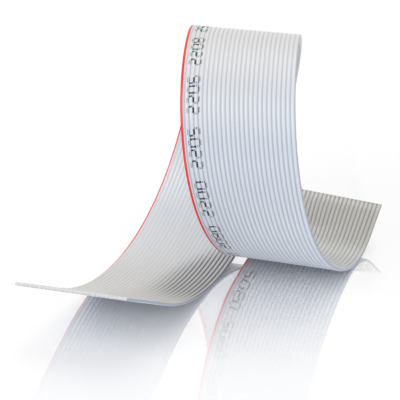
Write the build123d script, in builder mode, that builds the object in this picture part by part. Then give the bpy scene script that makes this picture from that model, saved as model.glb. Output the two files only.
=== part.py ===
"""A 25 way flat ribbon cable, standing on two folds in a loose loop. Millimetres and degrees, +Z up."""

import math
import os

from build123d import *

os.makedirs("parts", exist_ok=True)

# The cable's own section
conductor_count = 25
pitch = 1.27  # from one conductor to the next, square to them
ridge_thickness = 0.9  # of the insulation over a conductor
groove_depth = 0.2  # of the V between two ridges, on the marked face
edge_margin = 0.0  # bare web outside the first and the last ridge
conductor_size = 0.38  # across the flats of a bundle of seven strands
conductor_reach = 2.0  # how far in from a cut end each conductor is modelled

# The loop seen from its side. Every bend turns the same way, and an angle is the
# heading of the cable there: 0 runs forward along the ground, 90 climbs, 360 is forward again.
lead_angle = 10.57  # between the conductors and the square across the loop
raised_end_length = 10.2  # straight run before the first bend
front_fold_radius = 13.6
front_leg_radius = 33.5
top_radius = 16.8
raised_end_heading = -48.7
front_leg_heading = 21.3
top_heading = 176.0
rear_leg_heading = 260.3
tail_heading = 393.9
tail_length = 22.4  # straight run after the last bend

# Both ends are cut with snips, a little off square
raised_end_skew = -0.11  # how far the cut runs along the cable for each unit across it
tail_skew = -0.14
trim_allowance = 4.0  # extra length that the cuts take off

# Sizes that follow from those
lead = math.radians(lead_angle)
ruling_pitch = pitch / math.cos(lead)  # spacing of the conductors along a fold line
ribbon_width = conductor_count * ruling_pitch + 2 * edge_margin  # along a fold line
half_thickness = ridge_thickness / 2


def along(heading):
    """Direction of the loop's side outline at a heading."""
    turn = math.radians(heading)
    return Vector(0, -math.cos(turn), math.sin(turn))


def inward(heading):
    """Direction from the cable to the centre of its bend."""
    turn = math.radians(heading)
    return Vector(0, math.sin(turn), math.cos(turn))


def cable_direction(heading):
    """Direction of the conductors, which lean across the outline by the lead angle."""
    return along(heading) * math.cos(lead) - Vector(1, 0, 0) * math.sin(lead)


def across_cable(heading):
    """Direction across the cable's width, square to the conductors."""
    return Vector(1, 0, 0) * math.cos(lead) + along(heading) * math.sin(lead)


def cosine(heading):
    return math.cos(math.radians(heading))


# The rear leg's radius is the one that brings the rear fold down to the same ground
# as the front fold.
rise_to_rear_leg = (
    front_fold_radius * (1 - cosine(front_leg_heading))
    + front_leg_radius * (cosine(front_leg_heading) - cosine(top_heading))
    + top_radius * (cosine(top_heading) - cosine(rear_leg_heading))
)
rear_leg_radius = rise_to_rear_leg / (1 - cosine(rear_leg_heading))

bends = [
    (front_fold_radius, raised_end_heading, front_leg_heading),
    (front_leg_radius, front_leg_heading, top_heading),
    (top_radius, top_heading, rear_leg_heading),
    (rear_leg_radius, rear_leg_heading, tail_heading),
]


def bent_run(start, radius, heading, next_heading):
    """One bend as a stretch of helix whose axis is the fold lines' direction."""
    centre = start + inward(heading) * radius
    turn = next_heading - heading
    drift = radius * math.radians(turn) * math.tan(lead)
    on_axis = Plane(origin=centre, x_dir=inward(heading) * -1, z_dir=(-1, 0, 0))
    with BuildLine() as run:
        Helix(pitch=drift * 360 / turn, height=drift, radius=radius)
    return on_axis.from_local_coords(run.edges()[0])


# The centreline, from the raised end round to the tail. The origin is on the ground
# below the front fold.
fold_centre = Vector(0, 0, half_thickness + front_fold_radius)
fold_drift = front_fold_radius * math.radians(raised_end_heading) * math.tan(lead)
fold_start = fold_centre - inward(raised_end_heading) * front_fold_radius
fold_start -= Vector(fold_drift, 0, 0)
raised_end = fold_start - cable_direction(raised_end_heading) * raised_end_length

runs = []
here = fold_start
for radius, heading, next_heading in bends:
    runs.append(bent_run(here, radius, heading, next_heading))
    here = runs[-1] @ 1
tail_end = here + cable_direction(tail_heading) * tail_length

# Each end runs on straight by the allowance that the cut takes off
allowance_start = raised_end - cable_direction(raised_end_heading) * trim_allowance
allowance_end = tail_end + cable_direction(tail_heading) * trim_allowance
with BuildLine() as centreline:
    Line(allowance_start, fold_start)
    add(runs)
    Line(here, allowance_end)
path = centreline.wires()[0]
guide = Pos(ribbon_width, 0, 0) * path  # keeps every fold line level while sweeping


def end_plane(point, heading, skew, outward):
    """The plane of a cut end: X across the cable, Y through its thickness, Z out of the end."""
    across = across_cable(heading) + cable_direction(heading) * skew
    out_of_end = across.cross(inward(heading)) * outward
    return Plane(origin=point, x_dir=across, z_dir=out_of_end)


cut_ends = [
    (end_plane(raised_end, raised_end_heading, raised_end_skew, -1), raised_end_skew),
    (end_plane(tail_end, tail_heading, tail_skew, 1), tail_skew),
]
inward_runs = [cable_direction(raised_end_heading), cable_direction(tail_heading) * -1]


def conductor_place(number, skew):
    """Where a conductor comes out along a cut end."""
    return (number - (conductor_count - 1) / 2) * pitch * math.sqrt(1 + skew * skew)


# The insulation: ridges on the marked face, a plain back, swept round the loop
left = -ribbon_width / 2
crest = -half_thickness
valley = -half_thickness + groove_depth
marked_face = [(left, valley)]
for number in range(conductor_count):
    ridge_start = left + edge_margin + number * ruling_pitch
    marked_face.append((ridge_start + ruling_pitch / 2, crest))
    marked_face.append((ridge_start + ruling_pitch, valley))
section_plane = Plane(origin=path @ 0, x_dir=(1, 0, 0), z_dir=along(raised_end_heading))

with BuildPart() as loop:
    with BuildSketch(section_plane):
        with BuildLine():
            Polyline(*marked_face, (-left, half_thickness), (left, half_thickness), close=True)
        make_face()
    sweep(path=path, binormal=guide, clean=False)
    for end, skew in cut_ends:
        with BuildSketch(end):
            Rectangle(ribbon_width * 1.1, 4 * ridge_thickness)
        extrude(amount=2 * trim_allowance, clean=False, mode=Mode.SUBTRACT)
    for (end, skew), direction in zip(cut_ends, inward_runs):
        with BuildSketch(end):
            with Locations([(conductor_place(n, skew), 0) for n in range(conductor_count)]):
                RegularPolygon(conductor_size / 2, 6, major_radius=False)
        extrude(amount=conductor_reach, dir=direction, clean=False, mode=Mode.SUBTRACT)

# The origin is the middle of the footprint, on the ground
footprint = loop.part.bounding_box()
to_origin = Pos(-footprint.center().X, -footprint.center().Y, 0)

with BuildPart() as insulation:
    add(to_origin * loop.part, clean=False)
insulation.part.label = "insulation"
export_step(insulation.part, "parts/insulation.step")

# The conductors: both ends of each, seated in the insulation
for number in range(conductor_count):
    with BuildPart() as ends:
        for (end, skew), direction in zip(cut_ends, inward_runs):
            with BuildSketch(end):
                with Locations((conductor_place(number, skew), 0)):
                    RegularPolygon(conductor_size / 2, 6, major_radius=False)
            extrude(amount=conductor_reach, dir=direction)
    with BuildPart() as conductor:
        add(to_origin * ends.part)
    conductor.part.label = f"conductor_{number + 1:02d}"
    export_step(conductor.part, f"parts/{conductor.part.label}.step")
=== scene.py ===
import math

import bpy
import numpy as np
from mathutils import Matrix, Vector


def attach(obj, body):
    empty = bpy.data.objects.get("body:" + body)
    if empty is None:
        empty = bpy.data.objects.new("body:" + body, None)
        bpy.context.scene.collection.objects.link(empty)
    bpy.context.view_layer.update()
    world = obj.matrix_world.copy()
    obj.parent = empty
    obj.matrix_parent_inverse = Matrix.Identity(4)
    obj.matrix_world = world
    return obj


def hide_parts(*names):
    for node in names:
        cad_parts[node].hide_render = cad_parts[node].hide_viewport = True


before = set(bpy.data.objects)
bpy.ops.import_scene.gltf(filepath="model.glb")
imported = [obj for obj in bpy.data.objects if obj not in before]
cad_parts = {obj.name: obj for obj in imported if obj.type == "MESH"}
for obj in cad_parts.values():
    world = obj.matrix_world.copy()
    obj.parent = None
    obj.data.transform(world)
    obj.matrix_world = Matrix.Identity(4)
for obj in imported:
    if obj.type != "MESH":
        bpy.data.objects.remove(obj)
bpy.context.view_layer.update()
mm = 0.001

# The camera's angles are degrees, and its place is millimetres from the ground under the front fold.
photoCamera = {
    "place": (100.73, -378.582, 235.503),
    "elevation": 28.788,
    "azimuth": 19.178,
    "roll": -2.645,
    "focalWidths": 3.890,  # focal length as a multiple of the picture's width
    "sensor": 36,
    "clip": (0.01, 20),
}

# The cable's section and route, in millimetres and degrees
cable = {
    "conductors": 25,
    "pitch": 1.27,
    "thickness": 0.9,
    "grooveDepth": 0.21,
    "backGrooveDepth": 0.13,
    "ridgePower": 2.4,  # a ridge is flatter on top for a higher power
    "ridgeRound": 0.93,  # 1 ends the ridge upright in the groove
    "ridgeFall": 0.735,  # what those two bring the groove down by, before the depth scales it
    "lead": 10.57,  # lean of the conductors across the fold lines
    "raisedLength": 10.2,
    "raisedHeading": -48.7,
    "bends": [(13.6, 21.3), (33.5, 176.0), (16.8, 260.3)],  # radius and heading after it
    "rearRadius": (20.0, 80.0),  # the last bend's radius is looked for in here
    "rearTries": 40,
    "tailHeading": 393.9,
    "tailLength": 22.4,
    "ease": 7.0,  # length over which one curvature runs into the next
    "raisedSkew": -0.11,
    "tailSkew": -0.14,
    "slipX": 1.1,  # the front fold's red edge lies this far over and back from a level fold
    "slipY": 5.3,
    "slipReach": (18, 2, -5, -21),  # from before it on the leg to behind it, along the outline
    "clear": 0.008,  # the ink's height, on which the cable stands
    "routeSteps": 6001,
    "stations": 300,
    "evenShare": 0.35,  # of the stations, the rest gather in the bends
    "ridgePoints": 6,
    "cordPoints": 240,
}


def smooth(t):
    t = np.clip(t, 0, 1)
    return t * t * (3 - 2 * t)


# The cable's centreline, and any point on or near it by length along and distance across
class Route:
    def __init__(self, spec):
        self.spec = spec
        self.lead = math.radians(spec["lead"])
        low, high = spec["rearRadius"]
        for _ in range(spec["rearTries"]):  # the last bend's radius brings both folds to one ground
            rear = (low + high) / 2
            self.lay(rear)
            if self.lowAfter > self.lowBefore:
                low = rear
            else:
                high = rear

    # Works out the outline seen from the side, for one radius of the last bend
    def lay(self, rear):
        spec = self.spec
        bends = spec["bends"] + [(rear, spec["tailHeading"])]
        heading = spec["raisedHeading"]
        place, edges, curvatures = spec["raisedLength"] * math.cos(self.lead), [], [0.0]
        for radius, after in bends:
            edges.append(place)
            curvatures.append(1 / radius)
            place += radius * math.radians(after - heading)
            heading = after
        edges.append(place)
        curvatures.append(0.0)
        total = place + spec["tailLength"] * math.cos(self.lead)
        s = np.linspace(0, total, spec["routeSteps"])
        curvature = np.zeros_like(s)
        for edge, before, after in zip(edges, curvatures, curvatures[1:]):
            curvature += (after - before) * smooth((s - edge) / spec["ease"] + 0.5)
        step = s[1] - s[0]
        turn = self.summed(curvature) * step
        turn *= math.radians(heading - spec["raisedHeading"]) / turn[-1]
        theta = math.radians(spec["raisedHeading"]) + turn
        y = self.summed(-np.cos(theta)) * step
        z = self.summed(np.sin(theta)) * step
        half = len(s) // 2
        first, second = np.argmin(z[:half]), half + np.argmin(z[half:])
        self.lowBefore, self.lowAfter = z[first], z[second]
        self.lowPlace = s[first]
        self.s, self.theta, self.total = s, theta, total
        self.x = -(s - s[first]) * math.tan(self.lead)
        self.y = y - y[first]
        self.z = z - min(z[first], z[second]) + spec["thickness"] / 2 + spec["clear"]
        self.start, self.end = 0.0, total / math.cos(self.lead)

    def summed(self, values):
        return np.concatenate(([0], np.cumsum((values[1:] + values[:-1]) / 2)))

    # Points at a length along the conductors, a distance across and a height off to the inner side
    def at(self, along, across, off):
        s = (along + across * math.tan(self.lead)) * math.cos(self.lead)
        inside = np.clip(s, 0, self.total)
        beyond = s - inside
        theta = np.interp(inside, self.s, self.theta)
        x = np.interp(inside, self.s, self.x) - beyond * math.tan(self.lead)
        y = np.interp(inside, self.s, self.y) - beyond * np.cos(theta)
        z = np.interp(inside, self.s, self.z) + beyond * np.sin(theta)
        slip = self.slip(s, across)
        return np.stack([
            x + across / math.cos(self.lead) + slip * self.spec["slipX"],
            y + off * np.sin(theta) + slip * self.spec["slipY"],
            z + off * np.cos(theta),
        ], axis=-1)

    # Share of the sideways slip at the front fold: all of it on the red edge, none on the other
    def slip(self, s, across):
        after, full, level, before = self.spec["slipReach"]
        place = s - self.lowPlace
        share = 0.5 - across / (self.spec["conductors"] * self.spec["pitch"])
        rise = smooth((after - place) / (after - full))
        return rise * smooth((place - before) / (level - before)) * share

    # Where the two cuts cross the cable at a distance across it
    def ends(self, across):
        return (self.start + across * self.spec["raisedSkew"],
                self.end + across * self.spec["tailSkew"])


# Height of a face off the middle of the cable
def ridgeProfile(across, spec, depth="grooveDepth"):
    place = (across / spec["pitch"]) % 1.0  # 0 on a crest, a half in a groove
    fromCrest = np.minimum(place, 1 - place) * 2
    rounded = 1 - np.sqrt(np.maximum(0, 1 - spec["ridgeRound"] * fromCrest ** spec["ridgePower"]))
    return spec["thickness"] / 2 - spec[depth] * rounded / spec["ridgeFall"]


def addObject(name, vertices, faces, uvs=None, smoothFaces=True):
    mesh = bpy.data.meshes.new(name)
    mesh.from_pydata([tuple(v) for v in vertices], [], faces)
    if uvs is not None:
        layer = mesh.uv_layers.new(name="cable")
        corner = np.zeros(len(mesh.loops), dtype=np.int32)
        mesh.loops.foreach_get("vertex_index", corner)
        layer.data.foreach_set("uv", np.asarray(uvs)[corner].astype(np.float32).ravel())
    if smoothFaces:
        mesh.polygons.foreach_set("use_smooth", [True] * len(mesh.polygons))
    mesh.update()
    item = bpy.data.objects.new(name, mesh)
    bpy.context.scene.collection.objects.link(item)
    return item


route = Route(cable)


# The whole insulation as one closed mesh, ridged on both faces
def makeRibbon(spec):
    count = spec["conductors"] * spec["ridgePoints"] + 1
    width = spec["conductors"] * spec["pitch"]
    across = np.linspace(-width / 2, width / 2, count)
    roundAcross = np.concatenate([across, across[::-1]])
    back = ridgeProfile(across[::-1], spec, "backGrooveDepth")
    roundOff = np.concatenate([-ridgeProfile(across, spec), back])
    # stations lie closer together where the cable bends more
    turn = np.abs(np.gradient(route.theta, route.s))
    density = spec["evenShare"] / route.total + turn / (route.theta[-1] - route.theta[0])
    reach = np.cumsum(density)
    reach = (reach - reach[0]) / (reach[-1] - reach[0])
    stations, ring = spec["stations"], len(roundAcross)
    share = np.interp(np.linspace(0, 1, stations), reach, route.s) / route.total
    first, last = route.ends(roundAcross)
    along = first + (last - first) * share[:, None]
    acrossAll = np.broadcast_to(roundAcross, along.shape)
    points = route.at(along, acrossAll, roundOff)
    uvs = np.stack([acrossAll, along], axis=-1)
    faces = []
    for i in range(stations - 1):
        for j in range(ring):
            k = (j + 1) % ring
            faces.append((i * ring + j, i * ring + k, (i + 1) * ring + k, (i + 1) * ring + j))
    # each cut end is closed by quads from the outer to the inner face
    for base, flip in ((0, False), ((stations - 1) * ring, True)):
        for j in range(count - 1):
            quad = (base + j, base + ring - 1 - j, base + ring - 2 - j, base + j + 1)
            faces.append(quad[::-1] if flip else quad)
    return points.reshape(-1, 3), faces, uvs.reshape(-1, 2)


ribbonPoints, ribbonFaces, ribbonUvs = makeRibbon(cable)
middle = (ribbonPoints.min(axis=0) + ribbonPoints.max(axis=0)) / 2
toFrame = np.array([-middle[0], -middle[1], 0.0])  # the origin is the middle of the footprint


def placed(points):
    return (np.asarray(points) + toFrame) * mm


def makeCamera(spec):
    elevation, azimuth = math.radians(spec["elevation"]), math.radians(spec["azimuth"])
    forward = Vector((-math.sin(azimuth) * math.cos(elevation),
                      math.cos(azimuth) * math.cos(elevation), -math.sin(elevation)))
    level = Vector((math.cos(azimuth), math.sin(azimuth), 0))
    upright = level.cross(forward)
    roll = math.radians(spec["roll"])
    right = level * math.cos(roll) + upright * math.sin(roll)
    up = upright * math.cos(roll) - level * math.sin(roll)
    data = bpy.data.cameras.new("camera")
    data.sensor_width = spec["sensor"]
    data.lens = spec["focalWidths"] * spec["sensor"]
    data.clip_start, data.clip_end = spec["clip"]
    item = bpy.data.objects.new("camera", data)
    bpy.context.scene.collection.objects.link(item)
    turned = Matrix((right, up, -forward)).transposed().to_4x4()
    item.matrix_world = Matrix.Translation(placed(spec["place"])) @ turned
    bpy.context.scene.camera = item


makeCamera(photoCamera)
print("camera placed")

ribbon = addObject("ribbon", placed(ribbonPoints), ribbonFaces, ribbonUvs)
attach(ribbon, "root")
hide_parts("insulation")
onMiddle = np.zeros(cable["cordPoints"])
lengths = np.linspace(route.start, route.end, cable["cordPoints"])
middleLine = placed(route.at(lengths, onMiddle, onMiddle))
float(route.end - route.start) * mm
print("ribbon made:", len(ribbonFaces), "faces, length", round(route.end, 1), "mm")


# A socket of a node, which takes part in sums
class Signal:
    def __init__(self, graph, socket):
        self.graph = graph
        self.socket = socket

    def out(self, key):  # another output of the same node
        return Signal(self.graph, self.socket.node.outputs[key])

    def worked(self, operation, *values):
        return self.graph.node("ShaderNodeMath", {"operation": operation}, dict(enumerate(values)))

    def __add__(self, other):
        return self.worked("ADD", self, other)

    def __radd__(self, other):
        return self.worked("ADD", other, self)

    def __sub__(self, other):
        return self.worked("SUBTRACT", self, other)

    def __rsub__(self, other):
        return self.worked("SUBTRACT", other, self)

    def __mul__(self, other):
        return self.worked("MULTIPLY", self, other)

    def __rmul__(self, other):
        return self.worked("MULTIPLY", other, self)

    def __truediv__(self, other):
        return self.worked("DIVIDE", self, other)

    def __rtruediv__(self, other):
        return self.worked("DIVIDE", other, self)

    def fraction(self):
        return self.worked("FRACT", self)

    def larger(self, other):
        return self.worked("MAXIMUM", self, other)

    def distance(self, other):
        return self.worked("ABSOLUTE", self - other)

    def ramp(self, low, high):  # 0 at low, 1 at high and smooth between
        return self.graph.node(
            "ShaderNodeMapRange",
            {"interpolation_type": "SMOOTHSTEP"},
            {"Value": self, "From Min": low, "From Max": high},
        )


# The nodes of one material or of the surround
class Graph:
    def __init__(self, owner):
        owner.use_nodes = True
        self.owner = owner
        self.tree = owner.node_tree
        self.tree.nodes.clear()

    def node(self, kind, settings=None, inputs=None, output=0):
        item = self.tree.nodes.new(kind)
        for key, value in (settings or {}).items():
            setattr(item, key, value)
        for key, value in (inputs or {}).items():
            if isinstance(value, Signal):
                self.tree.links.new(value.socket, item.inputs[key])
            else:
                item.inputs[key].default_value = value
        return Signal(self, item.outputs[output]) if len(item.outputs) else None

    def mix(self, factor, first, second):  # of two colours
        return self.node("ShaderNodeMix", {"data_type": "RGBA"}, {0: factor, 6: first, 7: second}, 2)

    def axes(self, vector):
        split = self.node("ShaderNodeSeparateXYZ", None, {"Vector": vector})
        return split, split.out(1)

    def seen(self):  # 1 for what the camera sees, straight or in a gloss
        rays = self.node("ShaderNodeLightPath", output="Is Camera Ray")
        return rays.larger(rays.out("Is Glossy Ray"))

    def finish(self, shader, kind="ShaderNodeOutputMaterial"):
        self.node(kind, None, {"Surface": shader})
        return self.owner


def newGraph(name):
    return Graph(bpy.data.materials.new(name))


# An 8 bit display colour as linear light
def colour(red, green, blue):
    def linear(v):
        v = v / 255
        return v / 12.92 if v <= 0.04045 else ((v + 0.055) / 1.055) ** 2.4
    return (linear(red), linear(green), linear(blue), 1.0)


# A face has its crest and groove colours at the raised end, on the way up and over, and at the tail.
# These colours differ by painted light and shade. The printed face is painted more neutral and evenly
# lit over the top, and bluer on both legs. The back face is painted warm at the raised end, with
# deeply shaded grooves there, and cool and evenly lit over the top. The different tones of the two
# faces are painted light as well. Distances across and lengths along are millimetres.
insulationLook = {
    "printed_face": {
        "crest": (colour(209, 215, 225), colour(212, 212, 211), colour(209, 215, 225)),
        "shadedGroove": (colour(170, 178, 193), colour(188, 189, 190), colour(170, 178, 193)),
        "paintedLightChange": (78, 120, 150, 190),  # lengths along between which the colours change
        "redTo": -15.1,
        "redGone": (205, 240),
        "redLeft": 0.4,
    },
    "back_face": {
        "crest": (colour(212, 210, 204), colour(213, 216, 221), colour(203, 202, 199)),
        "shadedGroove": (colour(154, 151, 143), colour(203, 207, 212), colour(192, 190, 186)),
        "paintedLightChange": (8, 34, 190, 236),
        "redTo": -15.45,
        "redGone": (208, 240),
        "redLeft": 0.0,
    },
    # The cut face's groove colour is a little darker, as painted shade.
    "cut_face": {"crest": colour(214, 216, 220), "shadedGroove": colour(204, 206, 210)},
    "red": colour(226, 40, 34),
    "redSoft": 0.06,
    "wholeRidges": 88,  # added before the count is split, which keeps it above zero
    "shadeFrom": 0.35,  # of the way from a crest to a groove
    "shadeTo": 1.0,
    # Painted shade: the grooves near the rear fold's right edge darken towards this colour, and a
    # soft painted shadow of the front fold darkens the crests there a little.
    "paintedShade": colour(56, 54, 52),  # grooves near the rear fold's right edge, and a soft patch there
    "paintedShadeAcross": (-3, 8),
    "paintedShadeAlong": (214, 226, 226, 240),
    "paintedShadeSlant": 1.4,  # how much sooner it starts for each millimetre to the right
    "shadeOnCrests": 0.24,
    "roughness": 0.3,
    "roughSpread": 0.08,
    "grainScale": 900.0,
    "grainDetail": 3.0,
    "bumpStrength": 0.05,
    "bumpHeight": 0.0001,
    "ior": 1.5,
}


# 0 on a crest, 1 in a groove, where the darker groove colour is painted shade
def ridgeShade(across, spec, size):
    grooves = across / size["pitch"] + size["conductors"] / 2
    place = (grooves + spec["wholeRidges"]).fraction()
    return (place.distance(0.5) * 2).ramp(spec["shadeFrom"], spec["shadeTo"])


def plastic(g, base, spec):
    where = g.node("ShaderNodeTexCoord", output="Object")
    grain = g.node("ShaderNodeTexNoise", None, {
        "Vector": where, "Scale": spec["grainScale"], "Detail": spec["grainDetail"]})
    rough = grain * spec["roughSpread"] + (spec["roughness"] - spec["roughSpread"] / 2)
    bump = g.node("ShaderNodeBump", None, {
        "Strength": spec["bumpStrength"], "Distance": spec["bumpHeight"], "Height": grain})
    return g.node("ShaderNodeBsdfPrincipled", None, {
        "Base Color": base, "Roughness": rough, "Normal": bump, "IOR": spec["ior"]})


def makeLongFace(name, spec, size):
    faceColourAndLight = spec[name]
    g = newGraph(name)
    across, along = g.axes(g.node("ShaderNodeUVMap", {"uv_map": "cable"}))
    riseFrom, riseTo, fallFrom, fallTo = faceColourAndLight["paintedLightChange"]
    rise, fall = along.ramp(riseFrom, riseTo), along.ramp(fallFrom, fallTo)
    # crest and groove colours change along the length as painted light and shade; the red stripe is
    # print
    crest = g.mix(fall, g.mix(rise, *faceColourAndLight["crest"][:2]), faceColourAndLight["crest"][2])
    shadedGroove = g.mix(fall, g.mix(rise, *faceColourAndLight["shadedGroove"][:2]), faceColourAndLight["shadedGroove"][2])
    if name == "back_face":
        # painted shade in the back face's grooves and a soft painted shadow on its crests, near the
        # rear fold's right edge
        riseFrom, riseTo, fallFrom, fallTo = spec["paintedShadeAlong"]
        paintedShade = (along + across * spec["paintedShadeSlant"]).ramp(riseFrom, riseTo)
        paintedShade = paintedShade * (1 - along.ramp(fallFrom, fallTo)) * across.ramp(*spec["paintedShadeAcross"])
        shadedGroove = g.mix(paintedShade, shadedGroove, spec["paintedShade"])
        crest = g.mix(paintedShade * spec["shadeOnCrests"], crest, spec["paintedShade"])
    # the grooves take their darker colour as painted shade
    base = g.mix(ridgeShade(across, spec, size), crest, shadedGroove)
    stripe = across.ramp(faceColourAndLight["redTo"] + spec["redSoft"], faceColourAndLight["redTo"] - spec["redSoft"])
    stripe = stripe * (1 - along.ramp(*faceColourAndLight["redGone"]) * (1 - faceColourAndLight["redLeft"]))
    return g.finish(plastic(g, g.mix(stripe, base, spec["red"]), spec))


def makeCutFace(name, spec, size):
    g = newGraph(name)
    across, _ = g.axes(g.node("ShaderNodeUVMap", {"uv_map": "cable"}))
    base = g.mix(ridgeShade(across, spec, size), spec[name]["crest"], spec[name]["shadedGroove"])
    return g.finish(plastic(g, base, spec))


def dressRibbon(item, spec, size):
    item.data.materials.append(makeLongFace("printed_face", spec, size))
    item.data.materials.append(makeLongFace("back_face", spec, size))
    item.data.materials.append(makeCutFace("cut_face", spec, size))
    perRing = 2 * (size["conductors"] * size["ridgePoints"] + 1)
    index = np.arange(len(item.data.polygons))
    onBack = index % perRing >= perRing // 2
    onCut = index >= (size["stations"] - 1) * perRing
    item.data.polygons.foreach_set("material_index", np.where(onCut, 2, onBack).astype(np.int32))


dressRibbon(ribbon, insulationLook, cable)
print("insulation coloured")

# The numbers are rows of ink dots. Each digit lights some of seven bars, named a to g from
# the top round to the middle one.
numbers = {
    "bars": ["abcdef", "bc", "abdeg", "abcdg", "bcfg", "acdfg", "acdefg", "abc", "abcdefg", "abcdfg"],
    "text": "200 205 2060 2080 2200 2205 2206 2208 2500 2505 2506 2508 2600 2605",
    "from": 10.0,
    "step": 2.95,
    "tall": 3.1,
    "long": 2.0,
    "middle": -12.15,
    "dot": 0.32,
    "dotSides": 8,
    "lift": 0.008,
    "ink": colour(26, 26, 30),
    "roughness": 0.45,
}


# Dot centres of one digit on a grid of 5 by 7, left open where a level and an upright bar meet
def digitDots(bars, tall, long):
    level = {"a": 6, "g": 3, "d": 0}
    upright = {"b": (4, 4, 5), "c": (4, 1, 2), "e": (0, 1, 2), "f": (0, 4, 5)}
    spots = set()
    for bar in bars:
        if bar in level:
            spots |= {(column, level[bar]) for column in (1, 2, 3)}
        else:
            column, low, high = upright[bar]
            spots |= {(column, low), (column, high)}
    if not set("adg") & set(bars):
        spots |= {(4, row) for row in range(7)}
    if "g" not in bars:
        spots |= {(column, 3) for column in (0, 4) if (column, 2) in spots and (column, 4) in spots}
    return [(column / 4 * long, row / 6 * tall) for column, row in spots]


def makeNumbers(spec, size):
    vertices, faces = [], []
    place = spec["from"]
    circle = np.linspace(0, 2 * math.pi, spec["dotSides"], endpoint=False)
    for letter in spec["text"]:
        if letter != " ":
            dots = digitDots(spec["bars"][int(letter)], spec["tall"], spec["long"])
            for x, y in sorted(dots):
                along = place + x + spec["dot"] * np.cos(circle)
                # the tops of the digits point to the red edge
                across = spec["middle"] + spec["tall"] / 2 - y + spec["dot"] * np.sin(circle)
                off = -(ridgeProfile(across, size) + spec["lift"])
                start = len(vertices)
                vertices.extend(placed(route.at(along, across, off)))
                faces.append(tuple(range(start, start + spec["dotSides"])))
        place += spec["step"]
    return addObject("running_numbers", vertices, faces, smoothFaces=False)


def makeInk(spec):
    g = newGraph("black_ink")
    return g.finish(g.node("ShaderNodeBsdfPrincipled", None, {
        "Base Color": spec["ink"], "Roughness": spec["roughness"]}))


ink = makeNumbers(numbers, cable)
ink.data.materials.append(makeInk(numbers))
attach(ink, "root")
print("numbers printed")

# Seven strands stand a hair proud of each cut, one in the middle and the others around it
strands = {
    "radius": 0.062,
    "gap": 0.128,
    "around": 6,
    "sides": 8,
    "proud": 0.02,
    "deep": 0.4,
    "metal": colour(186, 178, 164),
    "roughness": 0.3,
}


def makeStrands(spec, size):
    vertices, faces = [], []
    sides = spec["sides"]
    angles = np.linspace(0, 2 * math.pi, sides, endpoint=False)
    centres = [(0.0, 0.0)] + [
        (spec["gap"] * math.cos(angle), spec["gap"] * math.sin(angle))
        for angle in np.linspace(0, 2 * math.pi, spec["around"], endpoint=False)]
    for number in range(size["conductors"]):
        conductor = (number - (size["conductors"] - 1) / 2) * size["pitch"]
        for centreAcross, centreOff in centres:
            across = conductor + centreAcross + spec["radius"] * np.cos(angles)
            off = centreOff + spec["radius"] * np.sin(angles)
            for end, outward in ((0, -1), (1, 1)):
                face = route.ends(across)[end]
                start = len(vertices)
                for depth in (spec["proud"], -spec["deep"]):
                    vertices.extend(placed(route.at(face + outward * depth, across, off)))
                cap = tuple(range(start, start + sides))
                faces.append(cap if end else cap[::-1])
                for j in range(sides):
                    k = (j + 1) % sides
                    faces.append((start + j, start + sides + j, start + sides + k, start + k))
    return addObject("conductor_strands", vertices, faces, smoothFaces=False)


def makeCopper(spec):
    g = newGraph("tinned_copper")
    return g.finish(g.node("ShaderNodeBsdfPrincipled", None, {
        "Base Color": spec["metal"], "Metallic": 1.0, "Roughness": spec["roughness"]}))


strandEnds = makeStrands(strands, cable)
strandEnds.data.materials.append(makeCopper(strands))
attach(strandEnds, "root")
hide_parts(*[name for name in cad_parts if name.startswith("conductor_")])
print("conductor ends made")

# The floor is white and mirrors what stands on it, less and less towards the front. There and at
# the right, part of its white takes no shadow. Both directions are level ones of the room.
floorLook = {
    "half": 1.6,
    "white": (0.97, 0.97, 0.975, 1.0),
    "shadowless": (1.0, 1.0, 1.0, 1.0),
    "toFront": (0.327, -0.945),
    "fade": (-0.015, 0.055),  # distances to the front between which the mirror fades
    "backMirror": 0.78,
    "frontMirror": 0.12,
    "frontShadowless": 0.5,
    "toRight": (0.950, 0.312),
    "dull": (0.042, 0.050),  # distances to the right between which it dulls
    "dullBy": 0.75,
    "rightShadowless": 0.8,
    "gloss": (1.0, 1.0, 1.0, 1.0),
    "roughness": 0.045,
}


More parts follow.
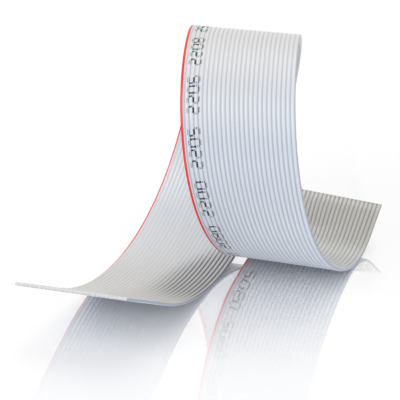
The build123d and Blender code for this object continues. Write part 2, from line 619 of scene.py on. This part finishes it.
def makeFloor(spec):
    h = spec["half"]
    item = addObject("floor", [(-h, -h, 0), (h, -h, 0), (h, h, 0), (-h, h, 0)], [(0, 1, 2, 3)],
                     smoothFaces=False)
    g = newGraph("glossy_floor")
    x, y = g.axes(g.node("ShaderNodeNewGeometry", output="Position"))
    fade = (x * spec["toFront"][0] + y * spec["toFront"][1]).ramp(*spec["fade"])
    right = (x * spec["toRight"][0] + y * spec["toRight"][1]).ramp(*spec["dull"])
    mirror = (1 - fade) * (spec["backMirror"] - spec["frontMirror"]) + spec["frontMirror"]
    mirror = mirror * (1 - right * spec["dullBy"])
    share = (fade * spec["frontShadowless"]).larger(right * spec["rightShadowless"]) * g.seen()
    diffuse = g.node("ShaderNodeBsdfDiffuse", None, {"Color": spec["white"]})
    glow = g.node("ShaderNodeEmission", None, {"Color": spec["shadowless"]})
    plain = g.node("ShaderNodeMixShader", None, {0: share, 1: diffuse, 2: glow})
    glossy = g.node("ShaderNodeBsdfGlossy", None, {
        "Color": spec["gloss"], "Roughness": spec["roughness"]})
    item.data.materials.append(
        g.finish(g.node("ShaderNodeMixShader", None, {0: mirror, 1: plain, 2: glossy})))


makeFloor(floorLook)
print("floor laid")

# Soft round lamps over a white surround, in metres and watts
lamps = {
    "aim": (0, 0, 0.03),
    "all": [
        {"name": "key", "place": (-0.55, -0.55, 0.85), "size": 0.7, "watts": 4.6},
        {"name": "fill", "place": (0.75, -0.35, 0.55), "size": 0.6, "watts": 1.0},
        {"name": "top", "place": (0.0, 0.35, 1.0), "size": 0.8, "watts": 3.1},
        {"name": "front", "place": (-0.33, -1.0, 0.12), "size": 0.22, "watts": 0.6},
    ],
}


def makeLamps(spec):
    for lamp in spec["all"]:
        data = bpy.data.lights.new(lamp["name"], "AREA")
        data.shape = "DISK"
        data.size = lamp["size"]
        data.energy = lamp["watts"]
        item = bpy.data.objects.new(lamp["name"], data)
        bpy.context.scene.collection.objects.link(item)
        item.location = lamp["place"]
        towards = Vector(spec["aim"]) - Vector(lamp["place"])
        item.rotation_euler = towards.to_track_quat("-Z", "Y").to_euler()


makeLamps(lamps)
print("lamps hung")

surround = {"colour": (1.0, 1.0, 1.0, 1.0), "onCable": 0.55}  # seen at a strength of 1


def makeSurround(spec):
    world = bpy.data.worlds.new("surround")
    bpy.context.scene.world = world
    g = Graph(world)
    strength = g.seen() * (1 - spec["onCable"]) + spec["onCable"]
    background = g.node("ShaderNodeBackground", None, {"Color": spec["colour"], "Strength": strength})
    g.finish(background, "ShaderNodeOutputWorld")


makeSurround(surround)
bpy.context.scene.view_settings.view_transform = "Standard"
print("surround made")
